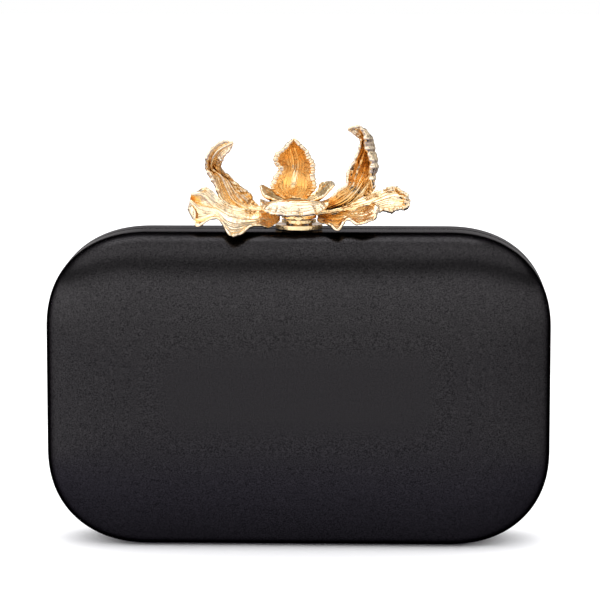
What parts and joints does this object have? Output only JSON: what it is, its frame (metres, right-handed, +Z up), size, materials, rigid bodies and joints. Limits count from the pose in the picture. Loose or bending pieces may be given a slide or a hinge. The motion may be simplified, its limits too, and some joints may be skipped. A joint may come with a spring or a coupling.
{
  "type": "box clutch purse",
  "caption": "Rigid satin-covered box clutch with a pillow-shaped body, bottom-hinged halves and a cast orchid catch that tilts back to let the front half open.",
  "frame": {"origin": "under the middle of the closed purse, on the surface it stands on", "axes": "+X along the purse's width, +Z up through the clasp, the front half faces -Y"},
  "size_m": [0.185, 0.0488, 0.1548],
  "materials": {
    "black_satin": "tightly woven black satin with a soft sheen",
    "wadding": "thin felted wadding",
    "moulded_shell": "moulded fibre board shell",
    "lining_cloth": "soft suede-like lining cloth",
    "gilt_metal": "polished pale gold plating on a casting",
    "spring_steel": "drawn steel wire"
  },
  "bodies": {
    "rear_half": {"rear_satin_cover": "black_satin", "rear_frame": "gilt_metal", "rear_wadding": "wadding", "rear_shell": "moulded_shell", "rear_lining": "lining_cloth", "slip_pocket": "lining_cloth", "hinge_left_rear_leaf": "gilt_metal", "hinge_right_rear_leaf": "gilt_metal", "hinge_left_pin": "spring_steel", "hinge_right_pin": "spring_steel", "clasp_base_rear": "gilt_metal", "clasp_pin": "spring_steel", "return_spring": "spring_steel"},
    "front_half": {"front_satin_cover": "black_satin", "front_frame": "gilt_metal", "front_wadding": "wadding", "front_shell": "moulded_shell", "front_lining": "lining_cloth", "hinge_left_front_leaf": "gilt_metal", "hinge_right_front_leaf": "gilt_metal", "clasp_base_front": "gilt_metal"},
    "flower": {"clasp_lever": "gilt_metal", "latch_tongue": "gilt_metal", "flower_stem": "gilt_metal", "lip": "gilt_metal", "inner_whorl": "gilt_metal", "hood": "gilt_metal", "petal_left_low": "gilt_metal", "petal_left_tall": "gilt_metal", "petal_right_low": "gilt_metal", "petal_right_tall": "gilt_metal", "petal_right_outer": "gilt_metal"}
  },
  "joints": [
    {"name": "front_open", "type": "hinge", "parent": "rear_half", "child": "front_half", "pos_m": [0, 0, 0.0015], "axis": [1, 0, 0], "range_deg": [0, 80], "deforming": ["latch_tongue"]},
    {"name": "clasp_tilt", "type": "hinge", "parent": "rear_half", "child": "flower", "pos_m": [0, 0.0052, 0.11905], "axis": [-1, 0, 0], "range_deg": [0, 20], "stiffness_Nm_per_rad": 0.3, "springref_deg": -11.46, "deforming": ["return_spring"]}
  ]
}
